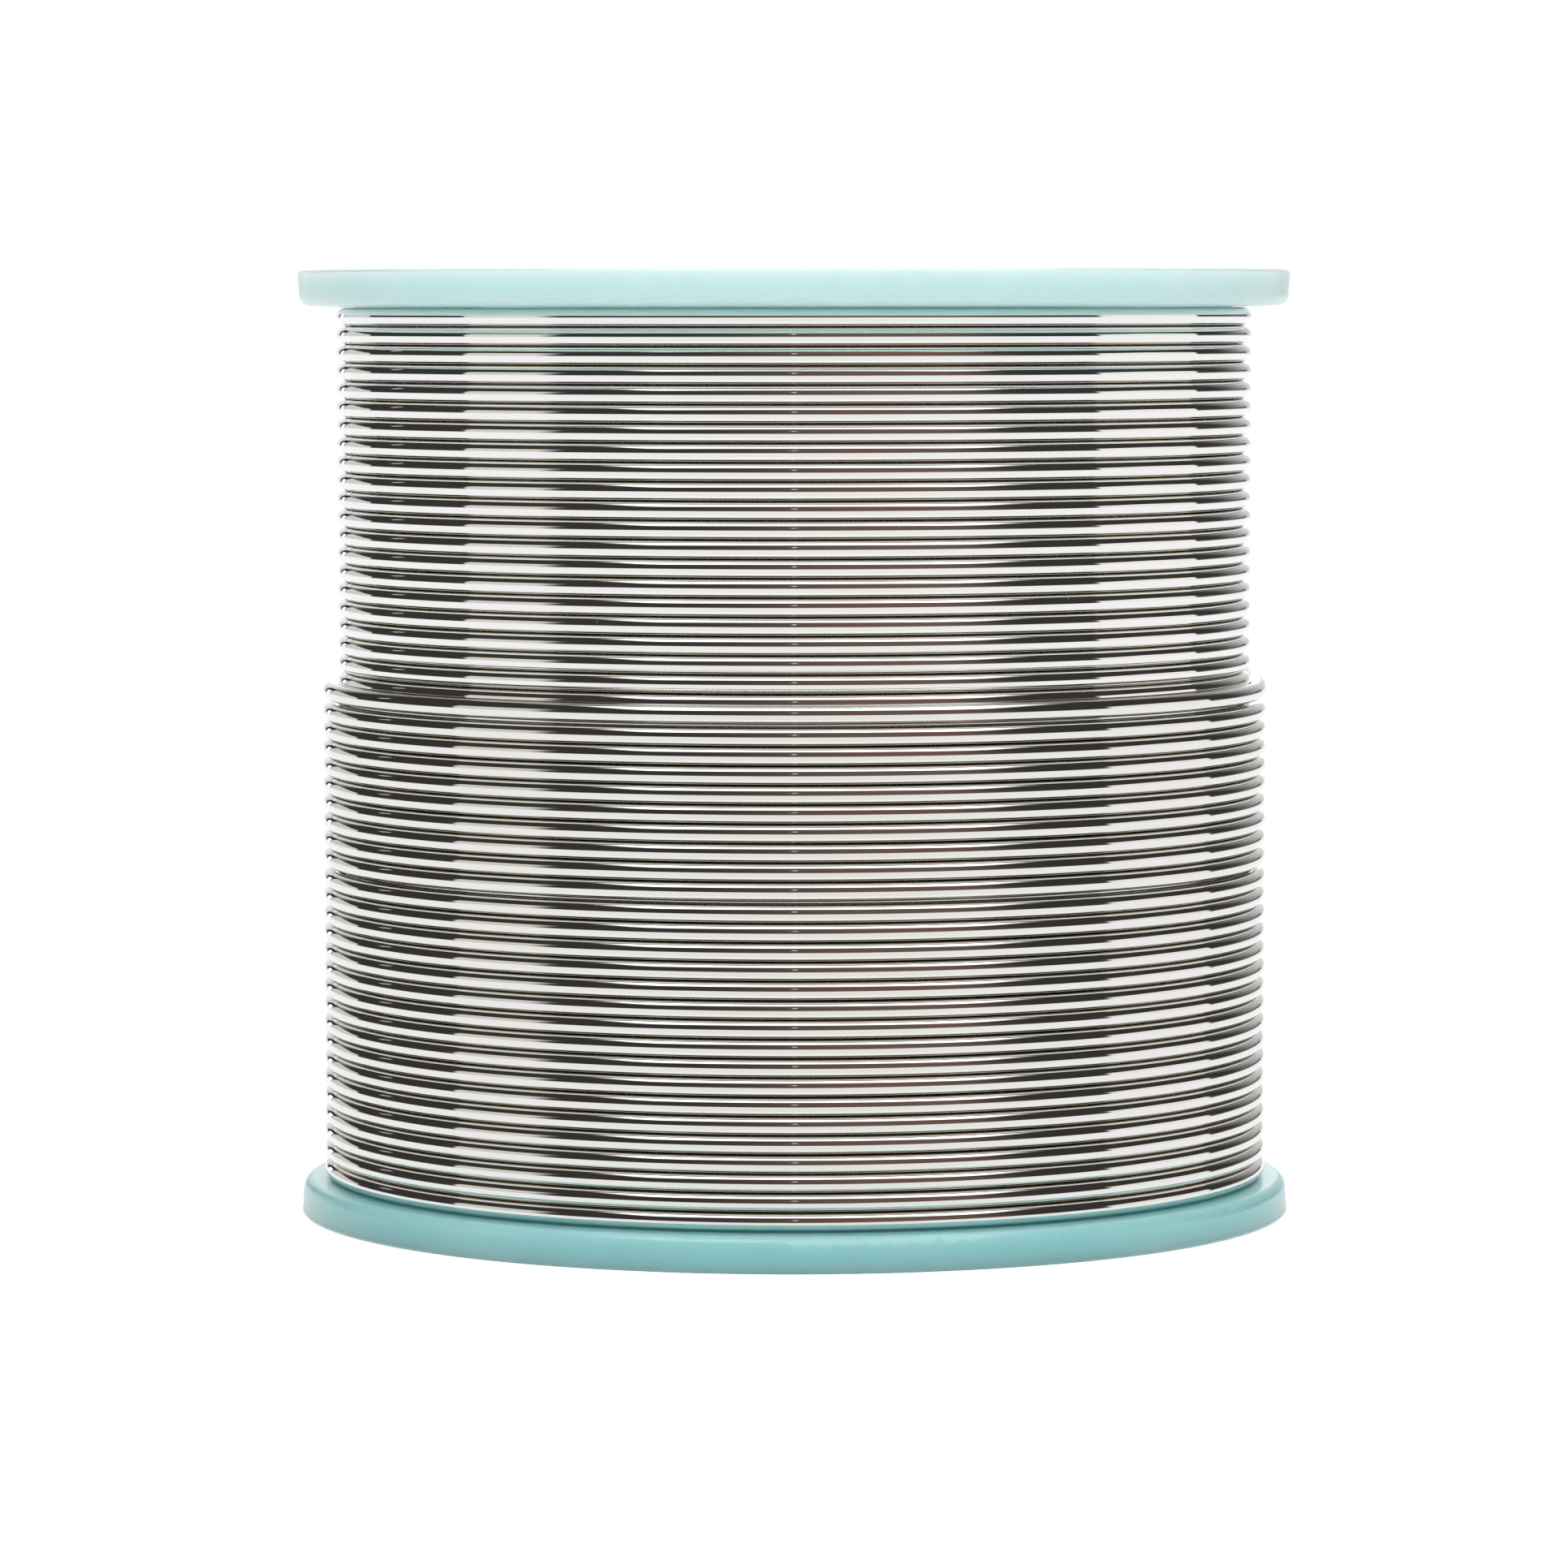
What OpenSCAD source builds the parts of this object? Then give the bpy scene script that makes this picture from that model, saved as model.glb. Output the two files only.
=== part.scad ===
// Solder wire spool: a moulded reel in two halves, wound with round solder wire.
// The reel stands on its lower flange. Its axis is +Z and Z = 0 is the face it stands on.
// Angles of the winding are measured from the front (-Y) towards +X, the way the wire is wound on.

/* [Reel] */
// Diameter of both flanges
flange_d = 55; // [54:0.5:60]
// Height over both flanges
reel_h = 52.26; // [50:0.02:58]
// Thickness of a flange under the winding
flange_t = 2; // [1.8:0.02:2.4]
// How much thinner the flange is where its shoulder starts
face_taper = 0.08; // [0:0.02:0.1]
// Straight part of the rim, from the outer face up to the rounded shoulder
rim_straight = 1.34; // [1:0.02:1.4]
// How far the rim draws in over its straight part
rim_draft = 0.1; // [0:0.02:0.3]
// Radius on the outer edge of the rim
edge_r = 0.15; // [0.1:0.05:0.3]
// Outer diameter of the barrel that the wire is wound on
barrel_d = 24.5; // [23.5:0.1:24.8]
// Wall of the barrel
barrel_wall = 1.5; // [1.4:0.1:1.8]

/* [Flange face] */
// Depth of the shallow recess in each outer face
recess_depth = 0.4; // [0.2:0.05:0.6]
// Width of the raised ring left at the rim
rim_land = 2.4; // [2:0.1:4]
// Width of the raised ring left round the barrel opening
core_land = 2.6; // [2.4:0.1:3]

/* [Hub] */
// Bore for the spindle of a wire stand
bore_d = 12; // [10:0.5:13]
// Wall of the hub tube
hub_wall = 1.4; // [1.2:0.1:1.6]
// Number of ribs between hub and barrel
rib_count = 6; // [3:1:8]
// Thickness of a rib
rib_t = 1.2; // [0.8:0.1:1.6]
// How far the ribs stand back from the outer face
rib_setback = 1; // [0.5:0.1:3]

/* [Joint of the halves] */
// Length of the spigot on the lower half
spigot_h = 2.4; // [2:0.1:4]
// Wall of the spigot
spigot_t = 0.7; // [0.6:0.05:0.8]
// Height of the snap bead round the spigot
bead_h = 0.15; // [0.1:0.01:0.2]
// Clearance between spigot and socket
joint_gap = 0.05; // [0.03:0.01:0.1]

/* [Wire] */
// Diameter of the solder wire
wire_d = 1; // [0.8:0.05:1]
// Diameter of the flux core in the wire
flux_d = 0.38; // [0.3:0.02:0.5]
// Full layers, from the barrel out
full_layers = 15; // [10:1:15]
// Turns in the part layer on top of the last full layer
outer_turns = 27; // [12:1:40]
// Spacing of the open turns of the last full layer, in wire diameters
open_spacing = 1.006; // [1.004:0.002:1.02]
// Spacing of the turns of the part layer, in wire diameters
outer_spacing = 1.011; // [1.006:0.001:1.02]
// Extra gap above the tenth turn and under the first turn of the part layer
slack_gap = 0.133; // [0:0.01:0.15]
// Gap between the top turn of the last full layer and the upper flange
top_gap = 0.04; // [0.02:0.01:0.1]
// Gap between the lowest turn of the part layer and the lower flange
flange_gap = 0.02; // [0.02:0.01:0.3]

/* [Crossovers] */
// Angle over which a turn steps to the next one
crossover_angle = 40; // [30:1:50]
// How far a crossover of the part layer rises over the crossovers under it, in wire diameters
crossover_rise = 0.29; // [0.29:0.01:0.4]
// How far the change of layer has risen halfway, in wire diameters
change_rise = 0.4; // [0.3:0.01:0.5]
// How far the lowest crossover rises, over the change of layer, in wire diameters
low_crossover_rise = 0.6; // [0.5:0.01:0.8]
// Angle at which the last turn starts its step up
end_step_angle = 80; // [70:1:90]
// Angle at which the wire is cut off
end_angle = 150; // [135:1:155]

/* [Start of the wire] */
// Hole in the upper flange for the start of the wire
start_hole_d = 1.6; // [1.4:0.1:2]
// Angle of that hole
start_angle = 205; // [0:5:355]

/* [Hidden] */

plastic = [0.58, 0.82, 0.80];
solder = [0.80, 0.80, 0.79];
resin = [0.78, 0.55, 0.20];
reel_fn = 180;
wire_fn = 24;
eps = 0.01;

// Reel
mid_z = reel_h / 2;
flange_r = flange_d / 2;
barrel_r = barrel_d / 2;
barrel_in_r = barrel_r - barrel_wall;
hub_in_r = bore_d / 2;
hub_out_r = hub_in_r + hub_wall;
shoulder_r = flange_t - face_taper - rim_straight;
shoulder_x = flange_r - rim_draft - shoulder_r;
spigot_r = barrel_in_r + spigot_t;
socket_r = spigot_r + joint_gap;
socket_h = spigot_h + 2 * joint_gap;
bead_z = spigot_h / 2;
bead_w = 2 * bead_h;
hub_joint_gap = 0.1;

// Winding. Layers nest in the grooves of the layer under them.
layer_step = wire_d * sin(60);
full_r = barrel_r + wire_d / 2 + (full_layers - 1) * layer_step;
outer_r = full_r + layer_step;
open_pitch = open_spacing * wire_d;
outer_pitch = outer_spacing * wire_d;
slack_turn = 10;
skin_gap = 0.02;
cut_gap = 0.03;
bend_gap = 0.08;
top_turn_z = reel_h - flange_t - top_gap - wire_d / 2;
low_outer_z = flange_t + flange_gap + wire_d / 2;

// Height of turn n of the part layer, counted from its top
function outer_z(n) = low_outer_z + (outer_turns - n) * outer_pitch
    + (n <= slack_turn ? slack_gap : 0) + (n == 1 ? slack_gap : 0);

open_turns = floor((top_turn_z - outer_z(1) - wire_d / 2) / open_pitch) + 1;
full_turns = open_turns + outer_turns - 1;

// Height of turn n of the last full layer: free under the upper flange,
// and midway between the turns of the part layer further down
function full_z(n) = n <= open_turns
    ? top_turn_z - (n - 1) * open_pitch
    : (outer_z(n - open_turns) + outer_z(n - open_turns + 1)) / 2;

half_cross = crossover_angle / 2;
low_full_z = full_z(full_turns);
end_groove_z = full_z(open_turns) + open_pitch / 2;
end_step_end = end_step_angle + crossover_angle;
end_step_mid = end_step_angle + half_cross;
rise_r = outer_r + crossover_rise * wire_d;
low_rise_r = outer_r + low_crossover_rise * wire_d;
change_r = full_r + change_rise * wire_d;
change_z = flange_t + wire_d / 2 + skin_gap;
start_r = barrel_r + wire_d / 2 + start_hole_d / 4;

// Circle through three points in a plane: [centre x, centre y, radius]
function circle3(a, b, c) = let (
    d = 2 * (a.x * (b.y - c.y) + b.x * (c.y - a.y) + c.x * (a.y - b.y)),
    aa = a * a,
    bb = b * b,
    cc = c * c,
    x = (aa * (b.y - c.y) + bb * (c.y - a.y) + cc * (a.y - b.y)) / d,
    y = (aa * (c.x - b.x) + bb * (a.x - c.x) + cc * (b.x - a.x)) / d)
    [x, y, norm([a.x - x, a.y - y])];

// Round bar bent to a level arc of radius r, at height z, from one winding angle to another
module level_arc(r, z, from_angle, to_angle, d = wire_d) {
    translate([0, 0, z])
        rotate_extrude(angle = to_angle - from_angle, start = from_angle - 90, $fn = reel_fn)
            translate([r, 0])
                circle(d = d, $fn = wire_fn);
}

// Wire stepping from radius r0 and height z0 to radius r1 and height z1 over half_angle either
// side of mid_angle, on the arc that passes radius rm halfway. It lies in a tilted plane, and
// both ends are cut back by gap.
module step_arc(mid_angle, r0, z0, r1, z1, rm, half_angle = half_cross, gap = cut_gap) {
    x0 = -r0 * sin(half_angle);
    x1 = r1 * sin(half_angle);
    tilt = atan((z1 - z0) / (x1 - x0));
    a = [x0 / cos(tilt), r0 * cos(half_angle)];
    b = [x1 / cos(tilt), r1 * cos(half_angle)];
    arc = circle3(a, b, [0, rm]);
    cut = asin(gap / arc[2]);
    from_angle = atan2(b.y - arc.y, b.x - arc.x) + cut;
    to_angle = atan2(a.y - arc.y, a.x - arc.x) - cut;
    rotate([0, 0, mid_angle - 180])
        mirror([1, 0, 0])
            translate([0, 0, z0 - x0 * tan(tilt)])
                rotate([0, -tilt, 0])
                    translate([arc.x, arc.y, 0])
                        rotate_extrude(angle = to_angle - from_angle, start = from_angle, $fn = reel_fn)
                            translate([arc[2], 0])
                                circle(d = wire_d, $fn = wire_fn);
}

// Section of a flange: drafted rim, rounded shoulder, inner face that tapers outside the winding,
// and a recessed outer face
module flange_section() {
    difference() {
        union() {
            polygon([
                [barrel_in_r, 0],
                [flange_r, 0],
                [flange_r - rim_draft, rim_straight],
                [shoulder_x, rim_straight],
                [shoulder_x, rim_straight + shoulder_r],
                [outer_r, flange_t],
                [barrel_in_r, flange_t]
            ]);
            translate([shoulder_x, rim_straight])
                circle(r = shoulder_r, $fn = wire_fn * 2);
        }
        translate([barrel_in_r + core_land, -eps])
            square([flange_r - rim_land - barrel_in_r - core_land, recess_depth + eps]);
        polygon([[flange_r - edge_r, -eps], [flange_r + eps, -eps], [flange_r + eps, edge_r]]);
    }
}

// Tube from radius r0 to radius r1 between two heights
module ring(r0, r1, z0, z1) {
    rotate_extrude($fn = reel_fn)
        translate([r0, z0])
            square([r1 - r0, z1 - z0]);
}

// Ribs that carry the hub tube inside the barrel, from one height to another
module ribs(z0, z1) {
    for (n = [0:rib_count - 1])
        rotate([0, 0, n * 360 / rib_count])
            translate([hub_out_r - eps, -rib_t / 2, z0])
                cube([barrel_in_r - hub_out_r + 2 * eps, rib_t, z1 - z0]);
}

// One moulded half without its joint: flange, barrel, hub tube and ribs, standing on its flange
module half_body(barrel_h, rib_top) {
    rotate_extrude($fn = reel_fn)
        flange_section();
    ring(barrel_in_r, barrel_r, 0, barrel_h);
    ring(hub_in_r, hub_out_r, 0, mid_z - hub_joint_gap / 2);
    ribs(rib_setback, rib_top);
}

// Snap spigot on top of the lower half's barrel
module spigot() {
    translate([0, 0, mid_z])
        rotate_extrude($fn = reel_fn)
            polygon([
                [barrel_in_r, -eps],
                [spigot_r, -eps],
                [spigot_r, bead_z - bead_w],
                [spigot_r + bead_h, bead_z],
                [spigot_r, bead_z + bead_w],
                [spigot_r, spigot_h - spigot_t / 2],
                [spigot_r - spigot_t / 2, spigot_h],
                [barrel_in_r, spigot_h]
            ]);
}

// Room that the socket leaves for the spigot, in the upper half turned over
module socket() {
    groove_r = socket_r + bead_h;
    translate([0, 0, mid_z])
        rotate_extrude($fn = reel_fn)
            polygon([
                [barrel_in_r - eps, eps],
                [barrel_in_r - eps, -socket_h],
                [socket_r, -socket_h],
                [socket_r, -bead_z - bead_w],
                [groove_r, -bead_z],
                [socket_r, bead_w - bead_z],
                [socket_r, eps]
            ]);
}

module lower_spool_half() {
    color(plastic) {
        half_body(mid_z, mid_z - hub_joint_gap);
        spigot();
    }
}

module upper_spool_half() {
    color(plastic)
        difference() {
            translate([0, 0, reel_h])
                mirror([0, 0, 1])
                    difference() {
                        half_body(mid_z, mid_z - socket_h - hub_joint_gap);
                        socket();
                    }
            rotate([0, 0, start_angle - 90])
                translate([start_r, 0, reel_h - flange_t - 1])
                    cylinder(d = start_hole_d, h = flange_t + 2, $fn = 48);
        }
}

// Hidden layers under the last full one
module inner_winding() {
    color(solder)
        ring(barrel_r + skin_gap, full_r - wire_d / 2 - skin_gap, flange_t, reel_h - flange_t);
}

module full_layer_turns() {
    color(solder)
        for (n = [1:full_turns])
            level_arc(full_r, full_z(n), half_cross - 180, 180 - half_cross);
}

module full_layer_crossovers() {
    color(solder)
        for (n = [1:full_turns - 1])
            step_arc(180, full_r, full_z(n), full_r, full_z(n + 1), full_r);
}

// Step from the lowest turn of the last full layer up onto it. It first dips to the lower
// flange, which keeps it clear of the crossovers of the full layer.
module layer_change() {
    quarter = half_cross / 2;
    color(solder) {
        step_arc(180 - quarter, full_r, low_full_z, change_r, change_z,
                 (full_r + change_r) / 2, quarter, bend_gap);
        step_arc(180 + quarter, change_r, change_z, outer_r, low_outer_z,
                 (change_r + outer_r) / 2, quarter, bend_gap);
    }
}

module outer_layer_turns() {
    color(solder) {
        for (n = [2:outer_turns])
            level_arc(outer_r, outer_z(n), half_cross - 180, 180 - half_cross);
        level_arc(outer_r, outer_z(1), half_cross - 180, end_step_angle);
    }
}

// The lowest crossover rides over the change of layer
module outer_layer_crossovers() {
    color(solder)
        for (n = [2:outer_turns])
            step_arc(180, outer_r, outer_z(n), outer_r, outer_z(n - 1),
                     n == outer_turns ? low_rise_r : rise_r);
}

// The last turn climbing one groove of the open turns
module last_turn_step() {
    color(solder)
        step_arc(end_step_mid, outer_r, outer_z(1), outer_r, end_groove_z, rise_r);
}

// The last stretch of wire, lying in a groove between two open turns
module free_end() {
    color(solder)
        translate([0, 0, end_groove_z])
            rotate_extrude(angle = end_angle - end_step_end, start = end_step_end - 90, $fn = reel_fn)
                translate([outer_r, 0])
                    difference() {
                        circle(d = wire_d, $fn = wire_fn);
                        circle(d = flux_d, $fn = wire_fn);
                    }
}

module flux_core() {
    color(resin)
        level_arc(outer_r, end_groove_z, end_step_end, end_angle, flux_d);
}

// The start of the wire, brought out through the upper flange and cut off just under its face
module wire_start() {
    color(solder)
        rotate([0, 0, start_angle - 90])
            translate([start_r, 0, reel_h - flange_t])
                cylinder(d = wire_d, h = flange_t - recess_depth / 2, $fn = wire_fn);
}

lower_spool_half();
upper_spool_half();
inner_winding();
full_layer_turns();
full_layer_crossovers();
layer_change();
outer_layer_turns();
outer_layer_crossovers();
last_turn_step();
free_end();
flux_core();
wire_start();
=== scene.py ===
from math import ceil, cos, pi, radians, sin

import bmesh
import bpy
from mathutils import Matrix, Vector


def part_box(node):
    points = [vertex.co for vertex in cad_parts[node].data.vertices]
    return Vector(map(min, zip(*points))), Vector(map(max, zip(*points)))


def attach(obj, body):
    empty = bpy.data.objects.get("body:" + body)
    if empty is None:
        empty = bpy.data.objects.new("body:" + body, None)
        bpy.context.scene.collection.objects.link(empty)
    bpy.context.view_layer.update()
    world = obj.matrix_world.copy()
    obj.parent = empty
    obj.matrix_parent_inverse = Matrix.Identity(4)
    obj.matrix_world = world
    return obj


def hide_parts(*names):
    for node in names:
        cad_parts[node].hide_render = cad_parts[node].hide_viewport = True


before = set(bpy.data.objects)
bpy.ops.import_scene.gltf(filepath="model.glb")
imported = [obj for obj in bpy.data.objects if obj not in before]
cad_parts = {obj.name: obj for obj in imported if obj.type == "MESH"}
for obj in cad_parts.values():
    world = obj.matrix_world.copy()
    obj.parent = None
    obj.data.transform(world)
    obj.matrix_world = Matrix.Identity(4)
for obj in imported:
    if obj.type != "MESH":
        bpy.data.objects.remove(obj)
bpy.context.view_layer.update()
mm = 0.001
print("frame loaded")


view = {
    "distance": 381.62 * mm,  # from the spool's axis
    "height": 50.39 * mm,
    "tiltDown": 4.003,
    "panLeft": 0.0862,
    "roll": -0.0527,
    "lens": 157.38,
    "sensor": 36,
    "clipStart": 10 * mm,
}


def makeCamera():
    camera = bpy.data.objects.new("camera", bpy.data.cameras.new("camera"))
    camera.data.lens = view["lens"]
    camera.data.sensor_width = view["sensor"]
    camera.data.clip_start = view["clipStart"]
    camera.matrix_world = (
        Matrix.Translation((0, -view["distance"], view["height"]))
        @ Matrix.Rotation(radians(view["panLeft"]), 4, "Z")
        @ Matrix.Rotation(radians(90 - view["tiltDown"]), 4, "X")
        @ Matrix.Rotation(radians(view["roll"]), 4, "Z")
    )
    bpy.context.scene.collection.objects.link(camera)
    bpy.context.scene.camera = camera


def feed(tree, socket, value):
    # a value is either another node's socket or a plain number, vector or colour
    if isinstance(value, bpy.types.NodeSocket):
        tree.links.new(value, socket)
    else:
        socket.default_value = value


def addNode(tree, kind, settings=None, **inputs):
    node = tree.nodes.new(kind)
    for key, value in (settings or {}).items():
        setattr(node, key, value)
    for key, value in inputs.items():
        feed(tree, node.inputs[key], value)
    return node


def calc(tree, operation, *values):
    node = tree.nodes.new("ShaderNodeMath")
    node.operation = operation
    for socket, value in zip(node.inputs, values):
        feed(tree, socket, value)
    return node.outputs[0]


def ramp(tree, value, low, high, start=0.0, end=1.0):
    # smooth change from start to end while value goes from low to high
    node = tree.nodes.new("ShaderNodeMapRange")
    node.interpolation_type = "SMOOTHSTEP"
    for key, number in zip(("Value", "From Min", "From Max", "To Min", "To Max"),
                           (value, low, high, start, end)):
        feed(tree, node.inputs[key], number)
    return node.outputs[0]


def blendColours(tree, factor, first, second, mode="MIX"):
    node = tree.nodes.new("ShaderNodeMix")
    node.data_type = "RGBA"
    node.blend_type = mode
    # a mix node has inputs for numbers and vectors too; these are the factor and the two colours
    feed(tree, node.inputs[0], factor)
    feed(tree, node.inputs[6], first)
    feed(tree, node.inputs[7], second)
    return node.outputs[2]


def noise(tree, vector, scale, detail=2.0, roughness=0.5, w=None):
    node = tree.nodes.new("ShaderNodeTexNoise")
    node.noise_dimensions = "3D" if w is None else "4D"
    feed(tree, node.inputs["Vector"], vector)
    if w is not None:
        feed(tree, node.inputs["W"], w)
    feed(tree, node.inputs["Scale"], scale)
    node.inputs["Detail"].default_value = detail
    node.inputs["Roughness"].default_value = roughness
    return node.outputs[0]


# the light around the spool is a world of its own: a dark room with a white table, a softbox overhead and
# reflectors at the sides; angles are in degrees
studio = {
    "backdrop": (1.0, 1.0, 1.0),
    "room": (0.040, 0.036, 0.033),
    "roomWarm": (0.160, 0.100, 0.084),  # brown wall in front, right of the camera
    "warmFrom": (-35, 25),
    "warmTo": (36, 62),
    "roomBack": (0.95, 0.95, 0.95),
    "backFromLeft": (-176, -146),
    "backFromRight": (132, 188),
    "table": (0.94, 0.94, 0.915),
    "tableBack": (1.01, 1.015, 1.015),
    "tableTurn": (10, 90),
    "tableNear": (1.13, 1.12, 1.08),  # the table close to the spool, right under the softbox
    "nearFrom": (-72, -50),
    "tableEdge": -2.5,  # elevation of the table's edge in front
    "tableEdgeBack": -1,
    "edgeTurn": (55, 150),
    "edgeSoft": 2.5,
}

# a panel is flat, with its corners as azimuth and elevation; its first edge is the lower one and its second
# the right one, and "soft" gives the softness of the first, the second and the others
panels = {
    "softbox": {
        "corners": [(-45.5, 48.4), (55, 46.3), (145, 55), (-150, 56)],
        "soft": (0.15, 0.10, 0.07), "colour": (3.1, 3.1, 3.09)},
    "leftReflector": {
        "corners": [(-88.6, -8), (-64, -8), (-64, 25), (-91.8, 20.5)],
        "soft": (0.01, 0.07, 0.01), "colour": (0.73, 0.715, 0.65)},
    "rightReflector": {
        "corners": [(81.8, -8), (120.3, -8), (120.7, 10.5), (100, 16), (81.8, 13.5)],
        "soft": (0.01, 0.01, 0.015), "colour": (0.96, 0.93, 0.88)},
    "leftStrip": {
        "corners": [(-128.6, 19.5), (-126.3, 19.5), (-125.2, 24), (-127.4, 24.5)],
        "soft": (0.004, 0.004, 0.004), "colour": (1.1, 1.1, 1.1)},
    "leftCardShade": {
        "corners": [(-163.2, -8), (-131.5, -8), (-131, 7.4), (-144, 12.4), (-152, 13.5), (-158, 12.8),
                    (-163.2, 9.5)],
        "soft": (0.006, 0.006, 0.006), "colour": (0.03, 0.03, 0.03)},
    "leftCard": {
        "corners": [(-155.2, -8), (-133, -8), (-132.5, 5.6), (-144, 10.8), (-151, 12), (-155.2, 11.8)],
        "soft": (0.008, 0.008, 0.008), "colour": (0.66, 0.66, 0.65)},
    "leftLamp": {
        "corners": [(-160, -8), (-156.2, -8), (-156.2, 6.2), (-160, 5.5)],
        "soft": (0.008, 0.008, 0.008), "colour": (1.5, 1.5, 1.5)},
    "rightSkirting": {
        "corners": [(122, -8), (161, -8), (160, 3), (122, 4)],
        "soft": (0.02, 0.02, 0.02), "colour": (0.10, 0.09, 0.085)},
    "backdrop": {
        "corners": [(172, -8), (-175, -8), (-175, 26), (172, 26)],
        "soft": (0.03, 0.03, 0.03), "colour": (1.3, 1.3, 1.3)},
    "lampSlit": {
        "corners": [(-0.5, 23), (0.5, 23), (0.5, 33), (-0.5, 33)],
        "soft": (0.03, 0.004, 0.004), "colour": (0.90, 0.88, 0.85)},
}


def towards(azimuth, elevation):
    azimuth, elevation = radians(azimuth), radians(elevation)
    return Vector((cos(elevation) * sin(azimuth), -cos(elevation) * cos(azimuth), sin(elevation)))


def panelMask(tree, direction, panel):
    corners = [towards(*corner) for corner in panel["corners"]]
    middle = sum(corners, Vector())
    mask = 1.0
    for k, corner in enumerate(corners):
        inward = corner.cross(corners[(k + 1) % len(corners)]).normalized()
        if inward.dot(middle) < 0:
            inward.negate()
        side = tree.nodes.new("ShaderNodeVectorMath")
        side.operation = "DOT_PRODUCT"
        tree.links.new(direction, side.inputs[0])
        side.inputs[1].default_value = inward
        soft = panel["soft"][min(k, 2)]
        mask = calc(tree, "MULTIPLY", mask, ramp(tree, side.outputs["Value"], -soft, soft))
    return mask


def mirroredRays(tree, rays):
    return calc(tree, "MAXIMUM", rays["Is Glossy Ray"], rays["Is Transmission Ray"])


def makeWorld():
    world = bpy.data.worlds.new("studio")
    bpy.context.scene.world = world
    world.use_nodes = True
    tree = world.node_tree
    tree.nodes.clear()
    direction = tree.nodes.new("ShaderNodeTexCoord").outputs["Generated"]
    split = tree.nodes.new("ShaderNodeSeparateXYZ")
    tree.links.new(direction, split.inputs[0])
    x, y, z = split.outputs
    elevation = calc(tree, "MULTIPLY", calc(tree, "ARCSINE", z), 180 / pi)
    azimuth = calc(tree, "MULTIPLY", calc(tree, "ARCTAN2", x, calc(tree, "MULTIPLY", y, -1.0)), 180 / pi)
    aside = calc(tree, "ABSOLUTE", azimuth)

    warm = calc(tree, "MULTIPLY", ramp(tree, azimuth, *studio["warmFrom"]),
                ramp(tree, azimuth, *studio["warmTo"], 1.0, 0.0))
    light = blendColours(tree, warm, (*studio["room"], 1), (*studio["roomWarm"], 1))
    back = calc(tree, "ADD", ramp(tree, azimuth, *studio["backFromLeft"], 1.0, 0.0),
                ramp(tree, azimuth, *studio["backFromRight"]))
    rays = tree.nodes.new("ShaderNodeLightPath").outputs
    behind = blendColours(tree, mirroredRays(tree, rays), (*studio["roomBack"], 1), (*studio["backdrop"], 1))
    light = blendColours(tree, back, light, behind)
    for panel in panels.values():
        light = blendColours(tree, panelMask(tree, direction, panel), light, (*panel["colour"], 1))
    edge = ramp(tree, aside, *studio["edgeTurn"], studio["tableEdge"], studio["tableEdgeBack"])
    soft = studio["edgeSoft"]
    onTable = ramp(tree, calc(tree, "SUBTRACT", edge, elevation), -soft, soft)
    table = blendColours(tree, ramp(tree, aside, *studio["tableTurn"]),
                         (*studio["table"], 1), (*studio["tableBack"], 1))
    table = blendColours(tree, ramp(tree, elevation, *studio["nearFrom"], 1.0, 0.0),
                         table, (*studio["tableNear"], 1))
    light = blendColours(tree, onTable, light, table)

    light = blendColours(tree, rays["Is Camera Ray"], light, (*studio["backdrop"], 1))
    background = tree.nodes.new("ShaderNodeBackground")
    tree.links.new(light, background.inputs["Color"])
    output = tree.nodes.new("ShaderNodeOutputWorld")
    tree.links.new(background.outputs[0], output.inputs["Surface"])


fillLamp = {
    "width": 700 * mm,
    "height": 350 * mm,
    "place": (0, -600 * mm, 160 * mm),
    "aim": (0, 0, 26 * mm),
    "power": 1.2,
}


def makeFillLamp():
    # lights the plastic from the front; the metal mirrors only the studio above
    lamp = bpy.data.lights.new("fillLamp", "AREA")
    lamp.shape = "RECTANGLE"
    lamp.size = fillLamp["width"]
    lamp.size_y = fillLamp["height"]
    lamp.energy = fillLamp["power"]
    fill = bpy.data.objects.new("fillLamp", lamp)
    fill.location = fillLamp["place"]
    away = Vector(fillLamp["place"]) - Vector(fillLamp["aim"])
    fill.rotation_euler = away.to_track_quat("Z", "Y").to_euler()
    fill.visible_glossy = False
    fill.visible_camera = False
    bpy.context.scene.collection.objects.link(fill)


floorLook = {
    "radius": 1.2,
    "sides": 96,
    "white": 0.86,  # what the camera sees of the floor without any light on it
    "paper": 0.30,  # how much of the light on it is added to that, so that it shows shadows
    "bounce": 0.75,  # how much light it gives back to the spool
    "fibreScale": 900.0,
    "fibreShade": 0.985,
}


def grey(value):
    return (value, value, value, 1)


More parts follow.
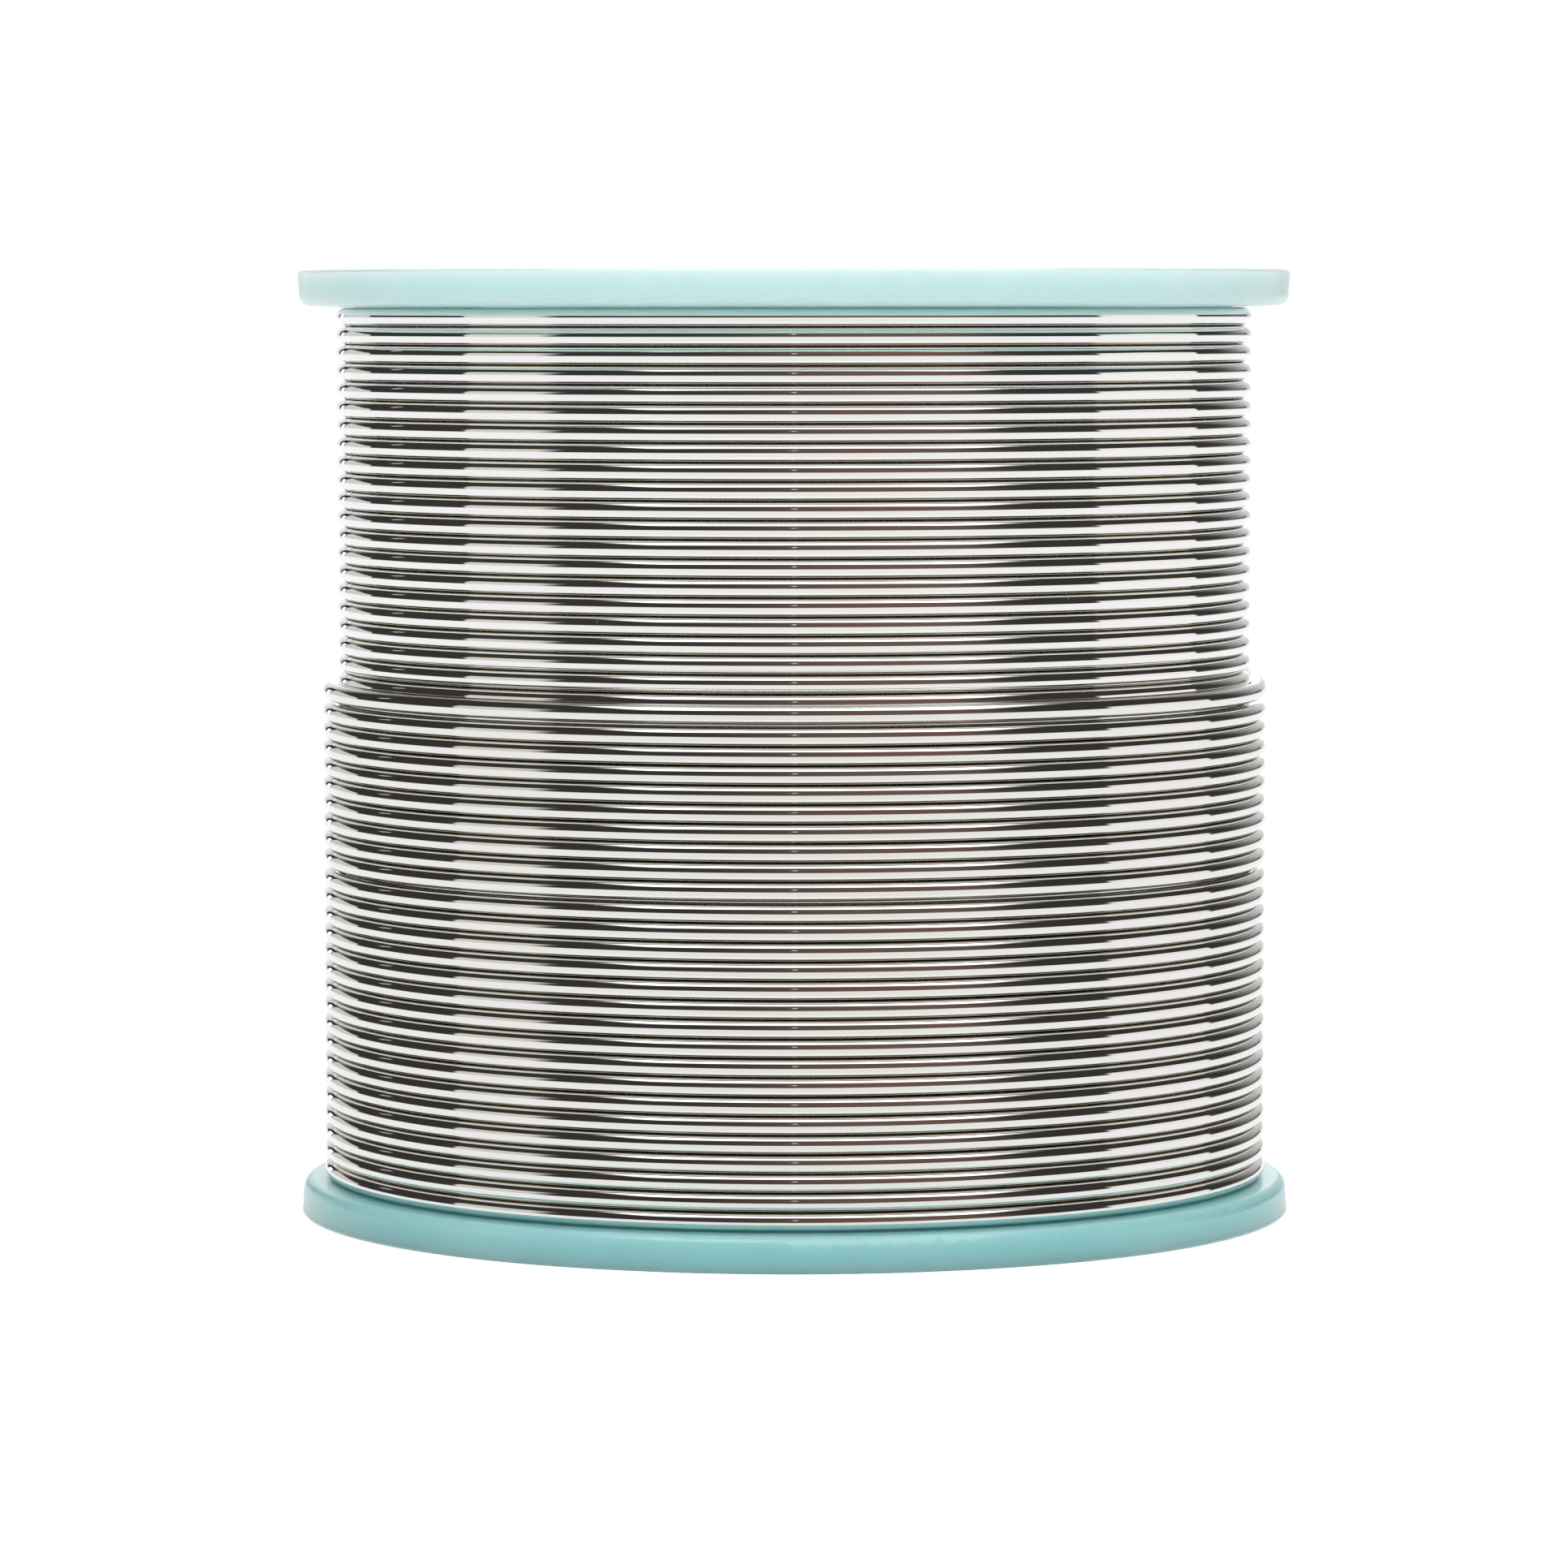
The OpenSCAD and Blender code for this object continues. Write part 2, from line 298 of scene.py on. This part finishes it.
def makeFloor():
    mesh = bpy.data.meshes.new("floor")
    bm = bmesh.new()
    bmesh.ops.create_circle(bm, cap_ends=True, segments=floorLook["sides"], radius=floorLook["radius"])
    bm.to_mesh(mesh)
    bm.free()
    material = bpy.data.materials.new("paleFloor")
    material.use_nodes = True
    tree = material.node_tree
    tree.nodes.clear()
    place = tree.nodes.new("ShaderNodeTexCoord").outputs["Object"]
    fibre = noise(tree, place, floorLook["fibreScale"], 3.0)
    tint = blendColours(tree, fibre, grey(floorLook["fibreShade"]), grey(1))
    glow = addNode(tree, "ShaderNodeEmission", Color=tint, Strength=floorLook["white"])
    paper = addNode(tree, "ShaderNodeBsdfDiffuse", Color=grey(floorLook["paper"]))
    shown = tree.nodes.new("ShaderNodeAddShader")
    tree.links.new(glow.outputs[0], shown.inputs[0])
    tree.links.new(paper.outputs[0], shown.inputs[1])
    bounce = addNode(tree, "ShaderNodeBsdfDiffuse", Color=grey(floorLook["bounce"]))
    either = tree.nodes.new("ShaderNodeMixShader")
    rays = tree.nodes.new("ShaderNodeLightPath").outputs
    seen = calc(tree, "MAXIMUM", rays["Is Camera Ray"], mirroredRays(tree, rays))
    tree.links.new(seen, either.inputs[0])
    tree.links.new(bounce.outputs[0], either.inputs[1])
    tree.links.new(shown.outputs[0], either.inputs[2])
    output = tree.nodes.new("ShaderNodeOutputMaterial")
    tree.links.new(either.outputs[0], output.inputs["Surface"])
    mesh.materials.append(material)
    floor = bpy.data.objects.new("floor", mesh)
    bpy.context.scene.collection.objects.link(floor)
    floor.visible_glossy = False  # polished wire mirrors the studio's own table


def newGroup(name, inputs, outputs):
    group = bpy.data.node_groups.new(name, "ShaderNodeTree")
    for label, kind, start in inputs:
        socket = group.interface.new_socket(label, in_out="INPUT", socket_type=kind)
        if start is not None:
            socket.default_value = start
    for label, kind in outputs:
        group.interface.new_socket(label, in_out="OUTPUT", socket_type=kind)
    return group, group.nodes.new("NodeGroupInput"), group.nodes.new("NodeGroupOutput")


speckShape = {
    "smallest": 0.4,  # beside the largest one
    "edge": 0.6,  # where a speck starts to fade, from its middle out
}


def makeSpecks():
    # small round specks, dust or pits, scattered over a surface
    group, given, result = newGroup(
        "specks",
        [("Vector", "NodeSocketVector", None), ("Spacing", "NodeSocketFloat", 1.0),
         ("Size", "NodeSocketFloat", 0.12), ("Share", "NodeSocketFloat", 0.3)],
        [("Mask", "NodeSocketFloat")])
    cells = group.nodes.new("ShaderNodeTexVoronoi")
    cells.feature = "F1"
    group.links.new(given.outputs["Vector"], cells.inputs["Vector"])
    group.links.new(calc(group, "DIVIDE", 1.0, given.outputs["Spacing"]), cells.inputs["Scale"])
    split = group.nodes.new("ShaderNodeSeparateColor")
    group.links.new(cells.outputs["Color"], split.inputs[0])
    chosen = calc(group, "LESS_THAN", split.outputs[0], given.outputs["Share"])
    reach = calc(group, "MULTIPLY", given.outputs["Size"],
                 ramp(group, split.outputs[1], 0.0, 1.0, speckShape["smallest"], 1.0))
    inside = ramp(group, calc(group, "DIVIDE", cells.outputs["Distance"], reach),
                  speckShape["edge"], 1.0, 1.0, 0.0)
    group.links.new(calc(group, "MULTIPLY", chosen, inside), result.inputs["Mask"])
    return group


def makeGrain():
    # fine even grain with a slower cloudiness under it
    group, given, result = newGroup(
        "grain",
        [("Vector", "NodeSocketVector", None), ("Fine", "NodeSocketFloat", 9000.0),
         ("Cloud", "NodeSocketFloat", 250.0)],
        [("Grain", "NodeSocketFloat"), ("Cloudiness", "NodeSocketFloat")])
    for label, scale, detail in (("Grain", "Fine", 2.0), ("Cloudiness", "Cloud", 3.0)):
        spots = noise(group, given.outputs["Vector"], given.outputs[scale], detail)
        group.links.new(spots, result.inputs[label])
    return group


def useGroup(tree, group, **values):
    return addNode(tree, "ShaderNodeGroup", {"node_tree": group}, **values).outputs


specks = makeSpecks()
grain = makeGrain()


def newMaterial(name):
    material = bpy.data.materials.new(name)
    material.use_nodes = True
    tree = material.node_tree
    shader = tree.nodes["Principled BSDF"]
    place = tree.nodes.new("ShaderNodeTexCoord").outputs["Object"]
    return material, tree, shader, place


def addBump(tree, shader, height):
    bump = addNode(tree, "ShaderNodeBump", Height=height, Distance=1.0, Strength=1.0)
    tree.links.new(bump.outputs[0], shader.inputs["Normal"])


def shaded(colour, factor=1):
    return (*[value * factor for value in colour], 1)


plasticLook = {
    # painted light and shade: both halves are the same mint plastic; the upper colour is painted paler and
    # brighter for the strong light on the upper flange, and the lower colour is painted darker for the shade
    # on the lower flange
    "upperPaintedLightColour": (0.600, 0.985, 0.950),
    "lowerPaintedShadeColour": (0.350, 0.738, 0.765),
    "grainScale": 11000.0,
    "cloudScale": 260.0,
    "dustSpacing": 0.9 * mm,
    "dustSize": 0.05,
    "dustShare": 0.10,
    "cloudSpan": (0.35, 0.7),  # spans of the noise over which the clouds and the grain come in
    "grainSpan": (0.45, 0.8),
    "cloudShade": 0.97,  # how bright the clouds, the grain and the dust are beside the colour
    "grainShade": 1.03,
    "dustShade": 0.88,
    "roughness": 0.19,
    "roughnessSpread": 0.06,
    "roughnessSpan": (0.2, 0.8),
    "dustRoughness": 0.25,
    "grainHeight": 0.003 * mm,
    "waveHeight": 0.012 * mm,
    "ior": 1.49,
    "throughLight": 1.0,
    "throughReach": 3.5 * mm,
    "throughColour": (1.0, 1.0, 1.0),
}


def makePlastic(name, base):
    look = plasticLook
    material, tree, shader, place = newMaterial(name)
    texture = useGroup(tree, grain, Vector=place, Fine=look["grainScale"], Cloud=look["cloudScale"])
    dust = useGroup(tree, specks, Vector=place, Spacing=look["dustSpacing"], Size=look["dustSize"],
                    Share=look["dustShare"])["Mask"]
    colour = blendColours(tree, ramp(tree, texture["Cloudiness"], *look["cloudSpan"]),
                          shaded(base), shaded(base, look["cloudShade"]))
    colour = blendColours(tree, ramp(tree, texture["Grain"], *look["grainSpan"]),
                          colour, shaded(base, look["grainShade"]))
    colour = blendColours(tree, dust, colour, shaded(base, look["dustShade"]))
    tree.links.new(colour, shader.inputs["Base Color"])
    spread = look["roughnessSpread"]
    rough = ramp(tree, texture["Grain"], *look["roughnessSpan"], look["roughness"] - spread / 2,
                 look["roughness"] + spread / 2)
    rough = calc(tree, "ADD", rough, calc(tree, "MULTIPLY", dust, look["dustRoughness"]))
    tree.links.new(rough, shader.inputs["Roughness"])
    addBump(tree, shader, calc(tree, "ADD", calc(tree, "MULTIPLY", texture["Grain"], look["grainHeight"]),
                               calc(tree, "MULTIPLY", texture["Cloudiness"], look["waveHeight"])))
    shader.inputs["IOR"].default_value = look["ior"]
    shader.inputs["Subsurface Weight"].default_value = look["throughLight"]
    shader.inputs["Subsurface Radius"].default_value = look["throughColour"]
    shader.inputs["Subsurface Scale"].default_value = look["throughReach"]
    return material


solderLook = {
    "fullLayerColour": (0.870, 0.870, 0.865),
    "topLayerColour": (0.815, 0.812, 0.795),
    # painted shade: the hidden layers are the same solder as the full layer, painted darker for the shade
    # they lie in under the outer turns
    "hiddenPaintedShadeColour": (0.79, 0.79, 0.78),
    "roughness": 0.04,
    "hiddenRoughness": 0.20,
    "lineWidth": 0.07 * mm,
    "lineLength": 6 * mm,
    "lineHeight": 0.0003 * mm,
    "lineRoughness": 0.03,
    "lineSpan": (0.4, 0.8),
    "lineDullSpan": (0.5, 0.8),
    "lineDull": 0.35,
    "pitSpacing": 0.45 * mm,
    "pitSize": 0.07,
    "pitShare": 0.10,
    "pitHeight": 0.003 * mm,
    "pitRoughness": 0.25,
    "pitDull": 0.8,
    "grainScale": 16000.0,
    "cloudScale": 420.0,
    "cloudSpan": (0.4, 0.8),
    "cloudRoughness": 0.03,
    "dulling": 0.86,  # how bright a dull spot is beside the clean metal
    "touchingPaintedShade": (0.80, 0.765, 0.69),  # painted shade: a darker, warmer tint of the metal on the flanks where the turns touch, in the crevices between them
}


def makeSolder(name, colour, roughness):
    look = solderLook
    material, tree, shader, place = newMaterial(name)
    split = tree.nodes.new("ShaderNodeSeparateXYZ")
    tree.links.new(place, split.inputs[0])
    x, y, z = split.outputs
    # drawing lines run along the wire: fast across it (radius and height), slow round the spool
    radius = calc(tree, "SQRT", calc(tree, "ADD", calc(tree, "MULTIPLY", x, x), calc(tree, "MULTIPLY", y, y)))
    across = 1 / look["lineWidth"]
    along = 1 / look["lineLength"]
    stretched = tree.nodes.new("ShaderNodeCombineXYZ")
    for socket, value, factor in zip(stretched.inputs, (radius, z, x), (across, across, along)):
        tree.links.new(calc(tree, "MULTIPLY", value, factor), socket)
    lines = noise(tree, stretched.outputs[0], 1.0, 1.0, w=calc(tree, "MULTIPLY", y, along))
    texture = useGroup(tree, grain, Vector=place, Fine=look["grainScale"], Cloud=look["cloudScale"])
    pits = useGroup(tree, specks, Vector=place, Spacing=look["pitSpacing"], Size=look["pitSize"],
                    Share=look["pitShare"])["Mask"]
    dull = calc(tree, "MULTIPLY", ramp(tree, lines, *look["lineDullSpan"]), look["lineDull"])
    dull = calc(tree, "MAXIMUM", dull, calc(tree, "MULTIPLY", pits, look["pitDull"]))
    metal = blendColours(tree, dull, shaded(colour), shaded(colour, look["dulling"]))
    # painted shade: the metal is tinted darker on the flanks where the turns touch, in the crevices between
    # them
    touching = addNode(tree, "ShaderNodeAttribute", {"attribute_name": "touching"}).outputs["Fac"]
    metal = blendColours(tree, touching, metal, shaded(look["touchingPaintedShade"]), "MULTIPLY")
    tree.links.new(metal, shader.inputs["Base Color"])
    lineRough = calc(tree, "MULTIPLY", ramp(tree, lines, *look["lineSpan"]), look["lineRoughness"])
    rough = calc(tree, "ADD", roughness, lineRough)
    rough = calc(tree, "ADD", rough, calc(tree, "MULTIPLY", pits, look["pitRoughness"]))
    rough = calc(tree, "ADD", rough,
                 ramp(tree, texture["Cloudiness"], *look["cloudSpan"], 0.0, look["cloudRoughness"]))
    tree.links.new(rough, shader.inputs["Roughness"])
    addBump(tree, shader, calc(tree, "SUBTRACT", calc(tree, "MULTIPLY", lines, look["lineHeight"]),
                               calc(tree, "MULTIPLY", pits, look["pitHeight"])))
    shader.inputs["Metallic"].default_value = 1.0
    return material


resinLook = {
    "dark": (0.62, 0.33, 0.06),
    "light": (0.86, 0.60, 0.22),
    "grainScale": 14000.0,
    "cloudScale": 2500.0,
    "grainSpan": (0.2, 0.8),
    "roughness": (0.18, 0.34),
}


def makeResin():
    look = resinLook
    material, tree, shader, place = newMaterial("fluxResin")
    texture = useGroup(tree, grain, Vector=place, Fine=look["grainScale"], Cloud=look["cloudScale"])
    colour = blendColours(tree, texture["Cloudiness"], shaded(look["dark"]), shaded(look["light"]))
    tree.links.new(colour, shader.inputs["Base Color"])
    rough = ramp(tree, texture["Grain"], *look["grainSpan"], *look["roughness"])
    tree.links.new(rough, shader.inputs["Roughness"])
    return material


# lit and shaded copies of one plastic: painted shade on the lower half, painted light on the upper half
lowerPlasticPaintedShade = makePlastic("reelPlasticLowerPaintedShade", plasticLook["lowerPaintedShadeColour"])
upperPlasticPaintedLight = makePlastic("reelPlasticUpperPaintedLight", plasticLook["upperPaintedLightColour"])
solderFull = makeSolder("solderFullLayer", solderLook["fullLayerColour"], solderLook["roughness"])
solderTop = makeSolder("solderTopLayer", solderLook["topLayerColour"], solderLook["roughness"])
# the under layers get a copy of the solder with painted shade
solderHiddenPaintedShade = makeSolder("solderUnderLayersPaintedShade", solderLook["hiddenPaintedShadeColour"], solderLook["hiddenRoughness"])
resin = makeResin()
print("materials made")


def placePiece(name, mesh, material, slot, *replaced):
    piece = bpy.data.objects.new(name, mesh)
    bpy.context.scene.collection.objects.link(piece)
    mesh.materials.append(material)
    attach(piece, "root")
    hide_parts(*replaced)


def evaluatedMesh(piece):
    # the surface of a curve as a mesh; the curve's own object goes
    bpy.context.view_layer.update()
    depsgraph = bpy.context.evaluated_depsgraph_get()
    mesh = bpy.data.meshes.new_from_object(piece.evaluated_get(depsgraph))
    bpy.data.objects.remove(piece)
    return mesh


winding = {
    "wireRadius": 0.5 * mm,
    "outerTurns": 27,  # turns of the part layer on top
    "openTurns": 21,  # turns of the full layer that it leaves open
    "openPitch": 1.006 * mm,
    "outerPitch": 1.011 * mm,
    "slack": 0.133 * mm,  # extra gap above the tenth turn and under the first one
    "slackTurn": 10,
    "startSpan": 44,  # the full layer comes up from the one under it over this angle
    "startDepth": 0.95 * mm,
    "crossFrom": 160,
    "crossTo": 200,
    "crossRise": 0.16 * mm,  # how far a turn rides up over the crossovers under it
    "lowCrossRise": 0.6 * mm,  # and over the change of layer
    "crossBlend": 18,
    "climbFrom": 80,  # the last turn climbs one groove here
    "climbTo": 120,
    "climbRise": 0.15 * mm,
    "end": 150,
    "step": 3,  # degrees between the rings of the mesh
    "sides": 28,
    "crease": 50,  # sharper angles stay sharp
    "radiusWaver": 0.006 * mm,
    "heightWaver": 0.003 * mm,
    "touchFrom": 0.78,  # the painted crevice shade comes in where the wire's surface looks this far up or down
    "touchSpan": 0.16,
}
wireR = winding["wireRadius"]
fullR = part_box("full_layer_turns")[1].x - wireR
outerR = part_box("outer_layer_turns")[1].x - wireR
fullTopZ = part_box("full_layer_turns")[1].z - wireR
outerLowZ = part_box("outer_layer_turns")[0].z + wireR
endZ = (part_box("free_end")[0].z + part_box("free_end")[1].z) / 2
fullTurns = winding["openTurns"] + winding["outerTurns"] - 1
turnStart = winding["crossTo"] - 360


def outerZ(n):
    height = outerLowZ + (winding["outerTurns"] - n) * winding["outerPitch"]
    if n <= winding["slackTurn"]:
        height += winding["slack"]
    if n <= 1:
        height += winding["slack"]
    return height


def fullZ(n):
    if n <= winding["openTurns"]:
        return fullTopZ - (n - 1) * winding["openPitch"]
    under = n - winding["openTurns"]
    return (outerZ(under) + outerZ(under + 1)) / 2


def ease(t):
    t = min(max(t, 0.0), 1.0)
    return (1 - cos(pi * t)) / 2


def windingPoint(angle, radius, height):
    return Vector((radius * sin(radians(angle)), -radius * cos(radians(angle)), height))


def wander(angle, seed, size):
    # hand-sized unevenness of the winding; two waves that don't repeat from turn to turn
    return size * (sin(radians(angle * 1.37 + seed * 71)) + sin(radians(angle * 2.61 + seed * 40)))


def rideUp(angle, n):
    # how far turn n stands off where it crosses what lies under it
    rise = winding["lowCrossRise"] if n == winding["outerTurns"] else winding["crossRise"]
    blend = winding["crossBlend"]
    up = ease((angle - winding["crossFrom"] + blend / 2) / blend)
    return rise * up * ease((winding["crossTo"] + blend / 2 - angle) / blend)


def angles(low, high):
    count = ceil((high - low) / winding["step"])
    return [low + (high - low) * k / count for k in range(count + 1)]


def crossing(angle):
    return (angle - winding["crossFrom"]) / (winding["crossTo"] - winding["crossFrom"])


def fullLayerPath(first, last):
    points = []
    for n in range(first, last + 1):
        low = turnStart - winding["startSpan"] if n == 1 else turnStart
        high = winding["crossFrom"] if n == fullTurns else winding["crossTo"]
        here, after = fullZ(n), fullZ(min(n + 1, fullTurns))
        for angle in angles(low, high)[1 if points else 0:]:
            t = ease(crossing(angle)) if angle > 0 else 0.0
            height = here + (after - here) * t + wander(angle + 360 * n, 1, winding["heightWaver"])
            radius = fullR + wander(angle + 360 * n, 2, winding["radiusWaver"])
            if angle < turnStart:
                radius -= winding["startDepth"] * ease((turnStart - angle) / winding["startSpan"])
            points.append(windingPoint(angle, radius, height))
    return points


def outerLayerPath():
    points = []
    # up from the full layer, beside the lower flange
    change = angles(winding["crossFrom"], winding["crossTo"])
    here, after = fullZ(fullTurns), outerZ(winding["outerTurns"])
    for angle in change[:-1]:
        t = crossing(angle)
        height = here + (after - here) * ease(2 * t)
        points.append(windingPoint(angle, fullR + (outerR - fullR) * ease(t), height))
    # the part layer, from its lowest turn up
    for n in range(winding["outerTurns"], 1, -1):
        here, after = outerZ(n), outerZ(n - 1)
        for angle in angles(turnStart, winding["crossTo"])[:-1]:
            t = ease(crossing(angle)) if angle > 0 else 0.0
            rise = rideUp(angle, n)
            if n < winding["outerTurns"]:
                rise += rideUp(angle + 360, n + 1)
            radius = outerR + rise + wander(angle - 360 * n, 4, winding["radiusWaver"])
            height = here + (after - here) * t + wander(angle - 360 * n, 3, winding["heightWaver"])
            points.append(windingPoint(angle, radius, height))
    # the last turn, its climb and the free end
    for angle in angles(turnStart, winding["end"]):
        span = winding["climbTo"] - winding["climbFrom"]
        t = ease((angle - winding["climbFrom"]) / span)
        rise = rideUp(angle + 360, 2)
        rise += winding["climbRise"] * sin(pi * t) ** 2
        points.append(windingPoint(angle, outerR + rise, outerZ(1) + (endZ - outerZ(1)) * t))
    return points


def sweepWire(name, points):
    curve = bpy.data.curves.new(name, "CURVE")
    curve.dimensions = "3D"
    curve.twist_mode = "Z_UP"
    curve.bevel_depth = wireR
    curve.bevel_resolution = (winding["sides"] - 4) // 2
    curve.use_fill_caps = True
    spline = curve.splines.new("POLY")
    spline.points.add(len(points) - 1)
    spline.points.foreach_set("co", [v for p in points for v in (*p, 1.0)])
    mesh = evaluatedMesh(bpy.data.objects.new(name, curve))
    mesh.shade_smooth()
    mesh.set_sharp_from_angle(angle=radians(winding["crease"]))
    touching = mesh.attributes.new("touching", "FLOAT", "POINT")
    for vertex, value in zip(mesh.vertices, touching.data):
        value.value = ease((abs(vertex.normal.z) - winding["touchFrom"]) / winding["touchSpan"])
    return mesh


def makeWires():
    # the full layer is cut in two, to keep each piece light
    half = fullTurns // 2
    for name, first, last in (("fullLayerUpper", 1, half), ("fullLayerLower", half + 1, fullTurns)):
        placePiece(name, sweepWire(name, fullLayerPath(first, last)), solderFull, "solder_wire",
                   "full_layer_turns", "full_layer_crossovers")
    path = outerLayerPath()
    placePiece("outerLayer", sweepWire("outerLayer", path), solderTop, "solder_wire",
               "layer_change", "outer_layer_turns", "outer_layer_crossovers", "last_turn_step", "free_end")
    return path


core = {
    "radius": 0.19 * mm,
    "length": 0.8 * mm,
    "proud": 0.015 * mm,  # how far it stands out of the cut metal
    "rounding": 0.03 * mm,
    "sides": 24,
    "crease": 40,
}


def makeFluxCore(path):
    end, before = path[-1], path[-2]
    along = (end - before).normalized()
    mesh = bpy.data.meshes.new("fluxCore")
    bm = bmesh.new()
    bmesh.ops.create_cone(bm, cap_ends=True, segments=core["sides"], radius1=core["radius"],
                          radius2=core["radius"], depth=core["length"])
    rim = [e for e in bm.edges if all(v.co.z > 0 for v in e.verts)]
    bmesh.ops.bevel(bm, geom=rim, offset=core["rounding"], offset_type="OFFSET", segments=3, profile=0.5,
                    affect="EDGES", material=-1)
    bm.transform(Matrix.Translation(end + along * (core["proud"] - core["length"] / 2))
                 @ along.to_track_quat("Z", "Y").to_matrix().to_4x4())
    bm.to_mesh(mesh)
    bm.free()
    mesh.shade_smooth()
    mesh.set_sharp_from_angle(angle=radians(core["crease"]))
    placePiece("fluxCore", mesh, resin, "flux_resin", "flux_core")


makeCamera()
makeWorld()
makeFillLamp()
makeFloor()
print("studio set")
wirePath = makeWires()
makeFluxCore(wirePath)
print("wire wound")

# the lower half gets the copy of the plastic with painted shade, the upper half the copy with painted light
for name, material in (("lower_spool_half", lowerPlasticPaintedShade), ("upper_spool_half", upperPlasticPaintedLight),
                       ("inner_winding", solderHiddenPaintedShade), ("wire_start", solderFull)):
    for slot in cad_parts[name].material_slots:
        slot.material = material
print("reel dressed")

bpy.context.scene.view_settings.view_transform = "Standard"
